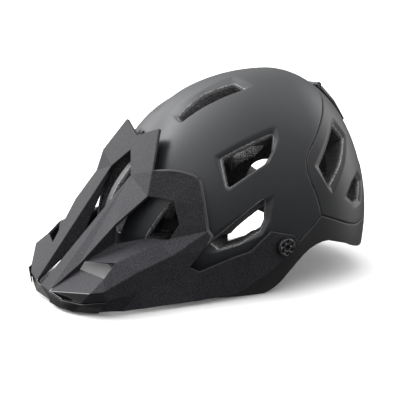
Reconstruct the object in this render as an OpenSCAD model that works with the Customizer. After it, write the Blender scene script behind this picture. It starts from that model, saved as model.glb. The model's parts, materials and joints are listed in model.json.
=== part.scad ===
// Trail cycling helmet with an adjustable peak, a dial fit system and chin straps.
// Millimetres. +Z up, wearer's front towards -Y, wearer's left towards +X.
// The origin is the middle of the footprint, on the surface the helmet stands on.

/* [Shell] */
// Half width of the outer shell
shell_half_w = 106; // [100:1:112]
// Length of the shell in front of its widest point
shell_front_l = 185; // [178:1:190]
// Length of the shell behind its widest point
shell_rear_l = 103; // [98:1:108]
// Height of the crown above the widest line
shell_crown_h = 153; // [148:1:156]
// Thickness of the hard shells
shell_t = 1.8; // [1.2:0.1:2.2]
// Gap between a shell and the foam liner
shell_gap = 0.3; // [0.2:0.1:0.5]
// Width of the line between two shells
seam = 0.9; // [0.6:0.1:1.4]

/* [Liner] */
// Half width of the head cavity
head_half_w = 80; // [76:1:83]
// Reach of the head cavity in front of its widest point
head_front_l = 150; // [144:1:154]
// Reach of the head cavity behind its widest point
head_rear_l = 66; // [62:1:70]
// Height of the head cavity above the widest line
head_crown_h = 122; // [116:1:126]
// Thickness of the comfort pads
pad_t = 6; // [4:0.5:8]

/* [Visor] */
// Thickness of the peak
visor_t = 2.6; // [2.2:0.1:3]
// Height of the pivot above the ground
pivot_z = 51; // [50:1:52]
// Radius of the finger screw
screw_r = 9; // [8:0.5:9.5]

/* [Fit dial] */
// Tooth module of the dial pinion
gear_m = 1; // [1:1:1]
// Number of teeth of the dial pinion
gear_n = 12; // [12:1:12]
// Radius of the dial knob
dial_r = 14; // [12:0.5:15]

/* [Straps] */
// Width of the webbing
web_w = 15; // [14:1:18]
// Thickness of the webbing
web_t = 1.4; // [1:0.1:1.8]

/* [Hidden] */
$fn = 48;

shift_y = 4;                 // brings the middle of the footprint to the origin
wy = 72;                     // widest line of the shell, before the shift
wz = 58;
px = 2.3;                    // squareness of the plan outline
HEAD = [wy, wz];
pivot_y = 28;
eps = 0.01;

// ---------- surfaces ----------
// axes of an egg-shaped dome: half width, front, rear, crown
function outer(o) = [shell_half_w + o, shell_front_l + o, shell_rear_l + o, shell_crown_h + o];
function inner(o) = [head_half_w + o, head_front_l + o, head_rear_l + o, head_crown_h + o];
function dir(az, el) = [cos(el) * sin(az), -cos(el) * cos(az), sin(el)];
function fld(u, A) = let (r = pow(pow(abs(u[0]) / A[0], px) + pow(abs(u[1]) / (u[1] < 0 ? A[1] : A[2]), px), 1 / px))
    sqrt(r * r + pow(abs(u[2]) / A[3], 2));
function wrap(a) = a > 180 ? a - 360 : (a < -180 ? a + 360 : a);
// the brow of the shell is hollowed behind the peak
function hollow(az, el) = 13.5 * exp(-pow(wrap(az) / 10, 2) / 2 - pow((el - 28) / 11, 2) / 2);
function surf(az, el, A, h) = let (u = dir(az, el)) [0, wy, wz] + u * (1 / fld(u, A) - h * hollow(az, el));

// closed dome: rings from below the rim to the crown
module dome(A, na, e0, e1, ne, h) {
    pts = concat([for (j = [0:ne - 1]) let (el = e0 + (e1 - e0) * j / ne) for (i = [0:na - 1]) surf(360 * i / na, el, A, h)],
        [[0, wy, wz + A[3]], [0, wy, wz + A[3] * sin(e0)]]);
    nt = na * ne;
    polyhedron(points = pts, faces = concat(
        [for (j = [0:ne - 2]) for (i = [0:na - 1]) let (k = (i + 1) % na) [j * na + i, (j + 1) * na + i, (j + 1) * na + k]],
        [for (j = [0:ne - 2]) for (i = [0:na - 1]) let (k = (i + 1) % na) [j * na + i, (j + 1) * na + k, j * na + k]],
        [for (i = [0:na - 1]) [(ne - 1) * na + i, nt, (ne - 1) * na + (i + 1) % na]],
        [for (i = [0:na - 1]) [(i + 1) % na, nt + 1, i]]));
}
module dome_solid(A, h = 1, na = 60, ne = 22) { dome(A, na, -44, 90, ne, h); }

// closed curved patch between two domes
module patch(a0, a1, e0, e1, A, B, na, ne) {
    n = (na + 1) * (ne + 1);
    function P(X) = [for (j = [0:ne]) for (i = [0:na]) surf(a0 + (a1 - a0) * i / na, e0 + (e1 - e0) * j / ne, X, 0)];
    function I(i, j, s) = s * n + j * (na + 1) + i;
    loop = concat([for (i = [0:na - 1]) [i, 0]], [for (j = [0:ne - 1]) [na, j]], [for (i = [na:-1:1]) [i, ne]], [for (j = [ne:-1:1]) [0, j]]);
    polyhedron(points = concat(P(A), P(B)), faces = concat(
        [for (j = [0:ne - 1]) for (i = [0:na - 1]) [I(i, j, 0), I(i, j + 1, 0), I(i + 1, j + 1, 0)]],
        [for (j = [0:ne - 1]) for (i = [0:na - 1]) [I(i, j, 0), I(i + 1, j + 1, 0), I(i + 1, j, 0)]],
        [for (j = [0:ne - 1]) for (i = [0:na - 1]) [I(i, j, 1), I(i + 1, j + 1, 1), I(i, j + 1, 1)]],
        [for (j = [0:ne - 1]) for (i = [0:na - 1]) [I(i, j, 1), I(i + 1, j, 1), I(i + 1, j + 1, 1)]],
        [for (k = [0:len(loop) - 1]) let (p = loop[k], q = loop[(k + 1) % len(loop)]) [I(p[0], p[1], 0), I(q[0], q[1], 0), I(q[0], q[1], 1)]],
        [for (k = [0:len(loop) - 1]) let (p = loop[k], q = loop[(k + 1) % len(loop)]) [I(p[0], p[1], 0), I(q[0], q[1], 1), I(p[0], p[1], 1)]]));
}

// ---------- side outlines, as [y, z] ----------
// bottom edge of the helmet, front to rear
RIM = [[-150, 24], [-113, 24], [-96, 12], [-80, 1], [-72, 0], [12, 0], [20, 1.5], [31, 9], [40, 21], [56, 39], [68, 46], [83, 49], [99, 45], [129, 31], [150, 28], [200, 28]];
// line between the lower shell and the shells above it
BELT = [[-150, 30], [-113, 30], [-96, 17], [-80, 5], [-20, 5], [-6, 7], [8, 17], [22, 27], [47, 50], [74, 75], [93, 68], [118, 58], [132, 58], [151, 62], [200, 65]];
// line between the upper and the rear shell
REAR = [[74, 75], [69, 96], [63, 110], [61, 120], [62, 132], [72, 142], [88, 160], [104, 178], [116, 192], [122, 215]];

module side(p) { rotate([90, 0, 90]) translate([0, 0, -150]) linear_extrude(300) polygon(p); }
function up(L, d) = [for (p = L) [p[0], p[1] + d]];
module below(L, d) { side(concat(up(L, d), [[200, -80], [-150, -80]])); }
module above(L, d) { side(concat(up(L, d), [[200, 260], [-150, 260]])); }
module behind(d) { side(concat([for (p = REAR) [p[0] + d, p[1]]], [[260, 215], [260, 20], [74 + d, 20]])); }

// ---------- vents, as [azimuth, elevation] seen from the middle of the helmet ----------
TOP = [[13, 43], [18, 41], [41, 65], [27, 67], [15, 56]];
MID = [[39, 32], [64, 48], [63, 40], [59, 34], [43, 21]];
LOW = [[59, 19], [59, 9], [57, 4], [49, -1], [41, -3], [38, 0]];
SIDE = [[26, 14], [19, 1], [23, -4], [32, 2], [34, 14]];
FRONT = [[1.6, 33], [7, 35], [12, 25], [14, 11], [10, 1], [1.6, 5]];
BACK = [[117, 51], [123, 44], [110, 33], [98, 23], [93, 34], [102, 42]];
TAIL = [[126, 25], [130, 21], [124, 12], [119, 11], [112, 16], [117, 21]];
NAPE = [[142, 44], [162, 43], [163, 30], [150, 24], [139, 31]];
VENTS = [TOP, MID, LOW, SIDE, FRONT, BACK, TAIL, NAPE];
module cone_cut(v, s, g) {
    c = [for (k = [0:1]) let (q = [for (p = v) p[k]]) (max(q) + min(q)) / 2];
    hull() for (p = v) for (f = [0.45, 1.25]) {
        q = c + (p - c) * g;
        u = dir(s * q[0], q[1]);
        translate([0, wy, wz] + u / fld(u, outer(0)) * f) cube(0.2, center = true);
    }
}
module vent_cuts(g = 1) { for (s = [-1, 1]) for (v = VENTS) cone_cut(v, s, g); }

module place() { translate([0, shift_y, 0]) children(); }
module both() { children(); mirror([1, 0, 0]) children(); }

// ---------- shells and liner ----------
module upper_shell() color("#3b3b3e") place() difference() {
    dome_solid(outer(0));
    dome_solid(outer(-shell_t));
    below(BELT, seam / 2);
    behind(-seam / 2);
    vent_cuts(1.06);
    for (s = [-1, 1]) translate([s * 95, pivot_y, pivot_z]) rotate([0, 90, 0]) cylinder(r = 5, h = 40, center = true);
}
module rear_shell() color("#39393c") place() difference() {
    intersection() {
        dome_solid(outer(0));
        behind(seam / 2);
        above(BELT, seam / 2);
    }
    dome_solid(outer(-shell_t));
    vent_cuts(1.06);
}
module lower_shell() color("#38383a") place() difference() {
    dome_solid(outer(0));
    dome_solid(outer(-shell_t));
    above(BELT, -seam / 2);
    below(RIM, 0);
    vent_cuts(1.06);
}
module eps_liner() color("#1c1c1d") place() difference() {
    dome_solid(outer(-shell_t - shell_gap - 0.7), 1, 60, 20);
    dome_solid(inner(1.9), 0, 48, 16);
    below(RIM, 1.5);
    vent_cuts(0.98);
    for (s = [-1, 1]) translate([s * 92, pivot_y, pivot_z]) rotate([0, 90, 0]) cylinder(r = 6.3, h = 60, center = true);
    for (s = [-1, 1]) {
        rotate_to(s * 76, 0, inner(0)) cylinder(r = 5.3, h = 20, center = true);
        rotate_to(s * 50, -12, inner(0)) cylinder(r = 8.3, h = 8.4, center = true);
        rotate_to(s * 122, 5, inner(0)) cylinder(r = 8.3, h = 8.4, center = true);
    }
    translate([0, 143, 86]) cube([17, 24, 31], center = true);
}
// puts a part on a dome, its +Z along the direction from the middle of the helmet
module rotate_to(az, el, A) { translate(surf(az, el, A, 0)) rotate([0, 90 - el, az - 90]) children(); }

// ---------- peak ----------
// outer face of the peak and its side arm, left half: corner points
VP = [[0, -180.5, 14], [7, -180, 14], [26, -93, 116], [0, -82, 136], [0, -75, 149.5], [40, -69, 161], [64, -87, 127], [68, -94, 104],
    [57, -122, 78], [41, -153, 39], [31, -179, 15], [73.8, -65.9, 125.7], [84, -49, 120], [80, -73, 99], [72.5, -85.8, 102.6], [91, -48, 98],
    [95, -47, 78], [85, -70, 78], [97, -47, 72], [80, -78, 64], [80, -88, 62], [82, -132, 50], [84, -144, 38], [87, -158, 27],
    [92, -81, 52], [94, -113, 43], [92, -148, 28], [101, -43, 66], [97, -53, 53], [94, -64, 39], [39, -151, 34], [50, -120, 58],
    [66, -95, 64], [90, -88, 26], [91, -114, 22], [91, -144, 19], [0, -183, 6], [31, -177, 4], [48, -173, 4], [62, -165, 4],
    [76, -147, 4], [52, -174, 13], [71, -161, 13], [87, -128, 5],
    [110, 14, 67], [110, 40, 60], [110, 45, 53], [109, 19, 29], [105, 3, 19], [98, -14, 6], [94, -60, 5], [89, -110, 5], [97, -55, 34], [103, -21, 45], [106, -6, 49], [42, -147, 42], [13, -132, 45]];
VF = [[0, 36, 37, 10, 1], [1, 10, 2], [10, 9, 2], [9, 8, 2], [8, 7, 2], [7, 6, 2], [6, 5, 2], [2, 5, 3], [5, 4, 3],
    [7, 14, 11, 6], [14, 13, 12, 11], [13, 17, 16, 15, 12], [17, 19, 18, 16], [19, 20, 24, 18], [20, 21, 25, 24], [21, 22, 26, 25],
    [22, 23, 26], [18, 24, 28, 27], [24, 33, 29, 28], [24, 25, 34, 33], [25, 26, 35, 34], [10, 23, 22, 30], [10, 30, 9],
    [9, 30, 55], [9, 55, 31, 8], [55, 32, 31], [55, 21, 32], [32, 21, 20, 19], [10, 41, 42, 23], [10, 37, 38, 41], [41, 38, 39, 42], [42, 39, 40, 35],
    [23, 42, 35, 26], [35, 40, 43, 34],
    [47, 46, 45, 44], [54, 48, 47, 44], [53, 49, 48, 54], [52, 50, 49, 53], [29, 33, 50, 52], [34, 51, 50, 33], [43, 51, 34], [2, 56, 1]];
function sum(v, i = 0) = i == len(v) ? [0, 0, 0] : v[i] + sum(v, i + 1);
function unit(v) = v / max(norm(v), 0.0001);
// a sheet of faces made into a closed plate of thickness t behind its outer side
module plate(V, F, t) {
    E = [for (f = F) for (k = [0:len(f) - 1]) [f[k], f[(k + 1) % len(f)]]];
    T = [for (f = F) for (k = [1:len(f) - 2]) [f[0], f[k], f[k + 1]]];
    TN = [for (f = T) unit(cross(V[f[1]] - V[f[0]], V[f[2]] - V[f[0]]))];
    N = [for (i = [0:len(V) - 1]) unit(sum([for (k = [0:len(T) - 1]) if (T[k][0] == i || T[k][1] == i || T[k][2] == i) TN[k]]))];
    rim = [for (e = E) if (len([for (g = E) if (g[0] == e[1] && g[1] == e[0]) 1]) == 0) e];
    n = len(V);
    polyhedron(points = concat(V, [for (i = [0:n - 1]) V[i] - N[i] * t]), faces = concat(
        [for (f = T) [f[2], f[1], f[0]]], [for (f = T) [f[0] + n, f[1] + n, f[2] + n]],
        [for (e = rim) [e[0], e[1], e[1] + n]], [for (e = rim) [e[0], e[1] + n, e[0] + n]]));
}
module visor() color("#333336") place() {
    n = len(VP);
    VV = concat(VP, [for (p = VP) [-p[0], p[1], p[2]]]);
    FF = concat(VF, [for (f = VF) [for (k = [len(f) - 1:-1:0]) VP[f[k]][0] == 0 ? f[k] : f[k] + n]]);
    difference() {
        union() {
            plate(VV, FF, visor_t);
            both() translate([106.8, pivot_y, pivot_z]) rotate([0, 90, 0]) cylinder(r = 8, h = 3.2);
        }
        both() translate([100, pivot_y, pivot_z]) rotate([0, 90, 0]) cylinder(r = 3.05, h = 20);
    }
}
// the glossy skin over the lip, standing off the peak
TRIM = [[10, 37, 38, 41], [41, 38, 39, 42], [42, 39, 40, 35]];
module lip_trim() color("#101012") place() both() {
    T = [for (f = TRIM) for (k = [1:len(f) - 2]) [f[0], f[k], f[k + 1]]];
    N = [for (i = [0:len(VP) - 1]) unit(sum([for (g = VF) for (k = [1:len(g) - 2]) if (g[0] == i || g[k] == i || g[k + 1] == i) unit(cross(VP[g[k]] - VP[g[0]], VP[g[k + 1]] - VP[g[0]]))]))];
    E = [for (f = TRIM) for (k = [0:len(f) - 1]) [f[k], f[(k + 1) % len(f)]]];
    rim = [for (e = E) if (len([for (g = E) if (g[0] == e[1] && g[1] == e[0]) 1]) == 0) e];
    n = len(VP);
    polyhedron(points = concat([for (i = [0:n - 1]) VP[i] + N[i] * 2.0], [for (i = [0:n - 1]) VP[i] + N[i] * 1.0]), faces = concat(
        [for (f = T) [f[2], f[1], f[0]]], [for (f = T) [f[0] + n, f[1] + n, f[2] + n]],
        [for (e = rim) [e[0], e[1], e[1] + n]], [for (e = rim) [e[0], e[1] + n, e[0] + n]]));
}
module visor_washers() color("#202022") place() both() translate([105.1, pivot_y, pivot_z]) rotate([0, 90, 0]) difference() {
    cylinder(r = 7.5, h = 1.4);
    translate([0, 0, -1]) cylinder(r = 3.05, h = 4);
}
module visor_nuts() color("#b0b2b5") place() both() translate([84, pivot_y, pivot_z]) rotate([0, 90, 0]) difference() {
    union() { cylinder(r = 6, h = 12); cylinder(r = 4.6, h = 20.5); }
    translate([0, 0, -1]) cylinder(r = 3.05, h = 30);
}
module finger_screw() translate([110.1, pivot_y, pivot_z]) rotate([0, 90, 0]) {
    difference() {
        union() { cylinder(r = screw_r, h = 6.2); translate([0, 0, -24]) cylinder(r = 3, h = 25); }
        translate([0, 0, 3.4]) cylinder(r = 2.9, h = 5, $fn = 6);
        for (a = [0:60:300]) rotate(a) translate([5.7, 0, 4.6]) cylinder(r = 1.5, h = 3, $fn = 24);
    }
}
module visor_screw_left() color("#1b1b1d") place() finger_screw();
module visor_screw_right() color("#1b1b1d") place() mirror([1, 0, 0]) finger_screw();

// ---------- goggle clip ----------
clip_y = 126;
clip_z = 192.2;
module goggle_clip() color("#1d1d1f") place() difference() {
    union() {
        translate([-17, clip_y, clip_z]) rotate([0, 90, 0]) cylinder(r = 2.6, h = 34);
        rotate([90, 0, 90]) translate([0, 0, -17]) linear_extrude(34) polygon([[126, 194.6], [134, 190], [150, 174.5], [162, 157.5], [164.6, 153], [161, 151.4], [157.4, 157.6], [147, 171.5], [132, 186.4], [126, 190.2]]);
    }
    translate([-20, clip_y, clip_z]) rotate([0, 90, 0]) cylinder(r = 1.05, h = 40);
    rotate([90, 0, 90]) translate([0, 0, -12]) linear_extrude(24) polygon([[132.5, 200], [132.5, 170], [158.5, 150], [166, 163]]);
}
module clip_pin() color("#c4c6c9") place() translate([-21, clip_y, clip_z]) rotate([0, 90, 0]) cylinder(r = 1, h = 42);
module clip_base() color("#232325") place() both() difference() {
    union() {
        translate([17.3, clip_y, clip_z]) rotate([0, 90, 0]) cylinder(r = 3, h = 4);
        rotate([90, 0, 90]) translate([0, 0, 17.3]) linear_extrude(4) polygon([[123, 189.7], [129, 185.3], [129, 192.2], [123, 192.2]]);
    }
    translate([10, clip_y, clip_z]) rotate([0, 90, 0]) cylinder(r = 1.02, h = 20);
}

// ---------- pads ----------
module pad(a0, a1, e0, e1, na, ne) patch(a0, a1, e0, e1, inner(-0.4), inner(-0.4 - pad_t), na, ne);
module brow_pad() color("#26262a") place() pad(-40, 40, -8, 6, 16, 3);
module crown_pad_front() color("#26262a") place() pad(-9, 9, 26, 62, 4, 7);
module crown_pad_rear() color("#26262a") place() pad(168, 192, 56, 78, 4, 5);
module crown_pad_left() color("#26262a") place() pad(70, 104, 46, 66, 6, 4);
module crown_pad_right() color("#26262a") place() pad(-104, -70, 46, 66, 6, 4);
module side_pad_left() color("#26262a") place() pad(62, 88, 8, 17, 5, 2);
module side_pad_right() color("#26262a") place() pad(-88, -62, 8, 17, 5, 2);

// ---------- fit system ----------
module fit_arm_left() color("#2c2c30") place() patch(60, 122, -3, 5, inner(-3), inner(-5), 12, 2);
module fit_arm_right() color("#2c2c30") place() mirror([1, 0, 0]) patch(60, 122, -3, 5, inner(-3), inner(-5), 12, 2);
module arm_anchors() color("#3a3a3e") place() both() rotate_to(76, 0, inner(0)) translate([0, 0, -1.4]) cylinder(r = 5, h = 9);
module fit_cradle() color("#2c2c30") place() union() {
    patch(130, 230, -32, -2, inner(-24), inner(-26.5), 16, 5);
    rotate([90, 0, 90]) translate([0, 0, -5]) linear_extrude(10) polygon([[111.9, 52], [113.9, 52], [113.9, 62.6], [135.2, 67], [135.2, 92], [133, 92], [133, 69.5], [111.9, 65]]);
}
module nape_pad() color("#26262a") place() patch(160, 200, -26, -8, inner(-27), inner(-31), 6, 3);
module height_guide() color("#3a3a3e") place() difference() {
    translate([-8, 130.4, 76]) cube([16, 19, 12]);
    translate([-5.1, 132.9, 70]) cube([10.2, 2.4, 30]);
}
dial_z = 45;
module along_y(y0) translate([0, y0, dial_z]) rotate([-90, 0, 0]) children();
module dial_housing() color("#26262a") place() difference() {
    union() { along_y(114.3) cylinder(r = 17, h = 7.7); translate([-26, 114.3, 32]) cube([52, 7.7, 26]); }
    translate([-40, 115.6, 33.5]) cube([80, 4.7, 23]);
    along_y(116) cylinder(r = 3.05, h = 10);
    along_y(120.2) cylinder(r = 10.6, h = 3);
}
module dial_knob() color("#151517") place() difference() {
    union() {
        along_y(122.3) cylinder(r = dial_r - 1, h = 9);
        for (a = [0:15:345]) along_y(123) rotate(a) translate([dial_r - 1, 0, 0]) cylinder(r = 1, h = 7.5, $fn = 24);
    }
    along_y(121) cylinder(r = 3.05, h = 5);
}
// involute outline of the pinion
rb = gear_m * gear_n / 2 * cos(25);
function inv(t) = [rb * (cos(t) + t * PI / 180 * sin(t)), rb * (sin(t) - t * PI / 180 * cos(t))];
tp = tan(25) * 180 / PI;                       // roll angle at the pitch circle
half = 90 / gear_n - 0.7 + (tan(25) * 180 / PI - 25); // half tooth angle at the base
ro = gear_m * gear_n / 2 + 0.7;
tmax = sqrt(pow(ro / rb, 2) - 1) * 180 / PI;
function turn(p, a) = [p[0] * cos(a) - p[1] * sin(a), p[0] * sin(a) + p[1] * cos(a)];
function gear_pts() = [for (i = [0:gear_n - 1]) for (s = [-1, 1]) for (k = [0:4])
    let (q = s < 0 ? k : 4 - k, p = inv(tmax * q / 4)) turn([p[0], -s * -p[1]], 360 * i / gear_n + s * half)];
module dial_pinion() color("#8a8c90") place() {
    along_y(116) linear_extrude(4) union() {
        circle(r = 5.02);
        for (i = [0:gear_n - 1]) rotate(360 * i / gear_n) polygon(concat([[3, -0.9]], [for (k = [0:4]) turn(inv(tmax * k / 4), -half)], [for (k = [4:-1:0]) let (p = turn(inv(tmax * k / 4), -half)) [p[0], -p[1]]], [[3, 0.9]]));
    }
    along_y(119.9) cylinder(r = 3, h = 6);
}
module rack_bar() {
    rotate([90, 0, 0]) translate([0, 0, -119.9]) linear_extrude(3.8) difference() {
        union() { translate([-15, 52]) square([61, 4]); translate([40, 51]) square([6, 5]);
            for (i = [-4:11]) translate([i * PI * gear_m + PI / 2, 51]) polygon([[-1.15, 1.2], [-0.38, -0.7], [0.38, -0.7], [1.15, 1.2]]); }
        translate([-30, 40]) square([14.9, 30]);
    }
}
module rack_left() color("#3a3a3e") place() rack_bar();
module rack_right() color("#3a3a3e") place() translate([0, 0, 2 * dial_z]) rotate([0, 180, 0]) rack_bar();
module detent_spring() color("#c4c6c9") place() along_y(120.4) difference() {
    cylinder(r = 10.3, h = 1.2);
    translate([0, 0, -1]) cylinder(r = 9, h = 4);
    translate([-4, 0, -1]) cube([8, 20, 4]);
}

// ---------- straps ----------
// webbing through points P with width directions D, closed
module webbing(P, D, w, t) {
    m = len(P);
    N = [for (i = [0:m - 1]) unit(cross(P[min(i + 1, m - 1)] - P[max(i - 1, 0)], D[i]))];
    pts = [for (i = [0:m - 1]) for (c = [[-1, -1], [1, -1], [1, 1], [-1, 1]]) P[i] + unit(D[i]) * w / 2 * c[0] + N[i] * t / 2 * c[1]];
    polyhedron(points = pts, faces = concat([[0, 1, 2], [0, 2, 3], [4 * m - 1, 4 * m - 2, 4 * m - 3], [4 * m - 1, 4 * m - 3, 4 * m - 4]],
        [for (i = [0:m - 2]) for (k = [0:3]) let (a = 4 * i + k, b = 4 * i + (k + 1) % 4) [a, a + 4, b]],
        [for (i = [0:m - 2]) for (k = [0:3]) let (a = 4 * i + k, b = 4 * i + (k + 1) % 4) [b, a + 4, b + 4]]));
}
function wall(az, el) = surf(az, el, inner(-1.8), 0);
module anchor(az, el) rotate_to(az, el, inner(0)) translate([0, 0, 0.3]) cylinder(r = 8, h = 3.6);
module strap_anchors_front() color("#3a3a3e") place() { anchor(50, -12); anchor(-50, -12); }
module strap_anchors_rear() color("#3a3a3e") place() { anchor(122, 5); anchor(-122, 5); }
module front_strap() webbing([wall(50, -12), wall(48, -18), wall(46, -23), [59, 1, 12.5], [54, -3, 9]],
    [[0.6, 0.8, 0], [0.6, 0.8, 0], [0.6, 0.8, 0.1], [0.6, 0.8, 0], [0.6, 0.8, 0]], web_w - 2, web_t);
module rear_strap() webbing([wall(121, 4), wall(112, 1), wall(100, -2), wall(86, -5), wall(74, -10), wall(66, -16), wall(60, -21), [62, 17, 20], [52, 12, 9]],
    [[0, 0, 1], [0, 0, 1], [0, 0, 1], [0, 0, 1], [0, 0.1, 1], [0, 0.3, 1], [0.2, 0.7, 0.8], [-0.6, 0.8, 0.2], [-0.7, 0.7, 0]], web_w - 2, web_t);
module front_strap_left() color("#1e1e22") place() front_strap();
module front_strap_right() color("#1e1e22") place() mirror([1, 0, 0]) front_strap();
module rear_strap_left() color("#1e1e22") place() rear_strap();
module rear_strap_right() color("#1e1e22") place() mirror([1, 0, 0]) rear_strap();
module divider() difference() {
    translate([38, -10, 5]) cube([11, 24, 4]);
    translate([42, -7.5, 0]) cube([3, 19, 20]);
}
module strap_divider_left() color("#19191b") place() divider();
module strap_divider_right() color("#19191b") place() mirror([1, 0, 0]) divider();
module chin_strap_left() color("#1e1e22") place() webbing([[37.6, -4, 6.5], [33, -10, 6.2], [31, -18, 6], [29.5, -27, 6]], [[0, 1, 0], [0.4, 0.9, 0], [1, 0.3, 0], [1, 0, 0]], web_w - 3, web_t);
module chin_strap_right() color("#1e1e22") place() webbing([[-37.6, -4, 6.5], [-38.6, -12, 6.2], [-41, -20, 6], [-42, -27, 6]], [[-0.2, 1, 0], [-0.7, 0.7, 0], [-1, 0.3, 0], [-1, 0, 0]], web_w - 3, web_t);
module chin_pad() color("#26262a") place() difference() {
    translate([20.5, -24, 3]) cube([20.5, 9, 6.4]);
    translate([22, -30, 4.6]) cube([17.4, 20, 3]);
}
module buckle_socket() color("#19191b") place() difference() {
    translate([8, -46.5, 2.2]) cube([26, 18.6, 8]);
    translate([0, -44.4, 3.9]) cube([26, 14.4, 4.6]);
}
module buckle_plug() color("#19191b") place() union() {
    translate([-20, -46, 2.6]) cube([27.6, 17, 7.2]);
    translate([7, -44, 4.3]) cube([16, 3.6, 3.8]);
    translate([7, -39.2, 4.3]) cube([18, 4, 3.8]);
    translate([7, -34, 4.3]) cube([16, 3.6, 3.8]);
}
module strap_keeper() color("#19191b") place() difference() {
    translate([-51.5, -22, 2.6]) cube([20, 5, 6.8]);
    translate([-50.4, -30, 4.1]) cube([17.8, 20, 3.8]);
}

upper_shell();
rear_shell();
lower_shell();
eps_liner();
visor();
lip_trim();
visor_washers();
visor_nuts();
visor_screw_left();
visor_screw_right();
goggle_clip();
clip_pin();
clip_base();
brow_pad();
crown_pad_front();
crown_pad_rear();
crown_pad_left();
crown_pad_right();
side_pad_left();
side_pad_right();
fit_arm_left();
fit_arm_right();
arm_anchors();
fit_cradle();
nape_pad();
height_guide();
dial_housing();
dial_knob();
dial_pinion();
detent_spring();
rack_left();
rack_right();
strap_anchors_front();
strap_anchors_rear();
front_strap_left();
front_strap_right();
rear_strap_left();
rear_strap_right();
strap_divider_left();
strap_divider_right();
chin_strap_left();
chin_strap_right();
chin_pad();
buckle_socket();
buckle_plug();
strap_keeper();
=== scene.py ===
import json
import math

import bmesh
import bpy
import numpy as np
from mathutils import Matrix, Vector

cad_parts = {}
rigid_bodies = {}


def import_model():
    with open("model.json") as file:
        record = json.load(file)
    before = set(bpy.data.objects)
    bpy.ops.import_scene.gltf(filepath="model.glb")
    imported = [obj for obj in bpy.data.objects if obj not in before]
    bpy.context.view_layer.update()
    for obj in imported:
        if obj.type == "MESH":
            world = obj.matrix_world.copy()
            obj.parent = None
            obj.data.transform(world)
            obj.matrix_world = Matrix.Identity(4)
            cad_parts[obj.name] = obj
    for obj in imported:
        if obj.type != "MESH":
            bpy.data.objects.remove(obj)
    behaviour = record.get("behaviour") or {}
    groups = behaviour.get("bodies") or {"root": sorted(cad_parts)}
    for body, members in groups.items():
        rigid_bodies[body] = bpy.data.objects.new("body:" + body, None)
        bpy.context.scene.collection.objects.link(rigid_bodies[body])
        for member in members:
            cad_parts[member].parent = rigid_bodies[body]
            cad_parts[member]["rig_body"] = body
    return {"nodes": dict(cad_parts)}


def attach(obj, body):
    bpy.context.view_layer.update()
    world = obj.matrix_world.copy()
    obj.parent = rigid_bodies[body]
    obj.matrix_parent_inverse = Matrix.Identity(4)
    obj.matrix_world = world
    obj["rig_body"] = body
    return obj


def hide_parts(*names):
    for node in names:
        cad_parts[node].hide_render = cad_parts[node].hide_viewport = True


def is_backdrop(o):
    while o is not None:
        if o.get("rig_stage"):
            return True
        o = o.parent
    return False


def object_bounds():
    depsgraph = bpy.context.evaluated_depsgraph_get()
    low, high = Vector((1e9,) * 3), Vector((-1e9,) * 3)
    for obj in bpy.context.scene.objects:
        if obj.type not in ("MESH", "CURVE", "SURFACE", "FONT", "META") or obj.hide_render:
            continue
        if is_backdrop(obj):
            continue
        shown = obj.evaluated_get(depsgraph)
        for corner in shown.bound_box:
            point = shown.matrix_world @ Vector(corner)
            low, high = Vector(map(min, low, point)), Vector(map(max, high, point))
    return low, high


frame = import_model()
bounds_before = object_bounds()
nodes = frame["nodes"]
rng = np.random.RandomState(7)

# ------------------------------------------------------------------ shape
# The dome, in millimetres, in the CAD frame. O is the middle of the helmet.
SY = 4.0
O = np.array([0.0, 72.0 + SY, 58.0])
PX = 2.3


def outer(o=0.0):
    return (106 + o, 185 + o, 103 + o, 153 + o)


def inner(o=0.0):
    return (80 + o, 150 + o, 66 + o, 122 + o)


def fld(U, A):
    yl = np.where(U[:, 1] < 0, A[1], A[2])
    r = ((np.abs(U[:, 0]) / A[0]) ** PX + (np.abs(U[:, 1]) / yl) ** PX) ** (1 / PX)
    return np.sqrt(r * r + (np.abs(U[:, 2]) / A[3]) ** 2)


def azel(U):
    az = np.degrees(np.arctan2(U[:, 0], -U[:, 1]))
    el = np.degrees(np.arctan2(U[:, 2], np.hypot(U[:, 0], U[:, 1])))
    return az, el


def hollow(U):
    az, el = azel(U)
    return 13.5 * np.exp(-((az / 10) ** 2) / 2 - ((el - 28) / 11) ** 2 / 2)


def direction(az, el):
    az, el = np.radians(az), np.radians(el)
    return np.stack(
        [np.cos(el) * np.sin(az), -np.cos(el) * np.cos(az), np.sin(el)], -1
    )


def radius(U, A, h=1.0):
    return 1.0 / fld(U, A) - h * hollow(U)


# ------------------------------------------------------------------ outlines
RIM = [(-150, 24), (-113, 24), (-96, 12), (-80, 1), (-72, 0), (12, 0), (20, 1.5), (31, 9), (40, 21), (56, 39), (68, 46), (83, 49), (99, 45), (129, 31), (150, 28), (200, 28)]
BELT = [(-150, 30), (-113, 30), (-96, 17), (-80, 5), (-20, 5), (-6, 7), (8, 17), (22, 27), (47, 50), (74, 75), (93, 68), (118, 58), (132, 58), (151, 62), (200, 65)]
REAR = [(74, 75), (69, 96), (63, 110), (61, 120), (62, 132), (72, 142), (88, 160), (104, 178), (116, 192), (122, 215)]


def soften_line(L, keep_ends=True, n=2, hold=()):
    """Rounds the corners of an open outline by cutting them, leaving the held points."""
    L = [np.array(p, float) for p in L]
    for _ in range(n):
        out = [L[0]]
        for i in range(1, len(L) - 1):
            a, b, c = L[i - 1], L[i], L[i + 1]
            if tuple(b) in hold:
                out.append(b)
                continue
            out.append(b * 0.7 + a * 0.3)
            out.append(b * 0.7 + c * 0.3)
        out.append(L[-1])
        L = out
    return [tuple(p) for p in L]


RIM_S = soften_line(RIM)
BELT_S = soften_line(BELT, hold=((74.0, 75.0),))
REAR_S = soften_line(REAR)
ABOVE = BELT_S + [(200, 300), (-150, 300)]
BEHIND = REAR_S + [(300, 215), (300, -60), (74, -60)]
RIMPOLY = RIM_S + [(200, 300), (-150, 300)]


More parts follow.
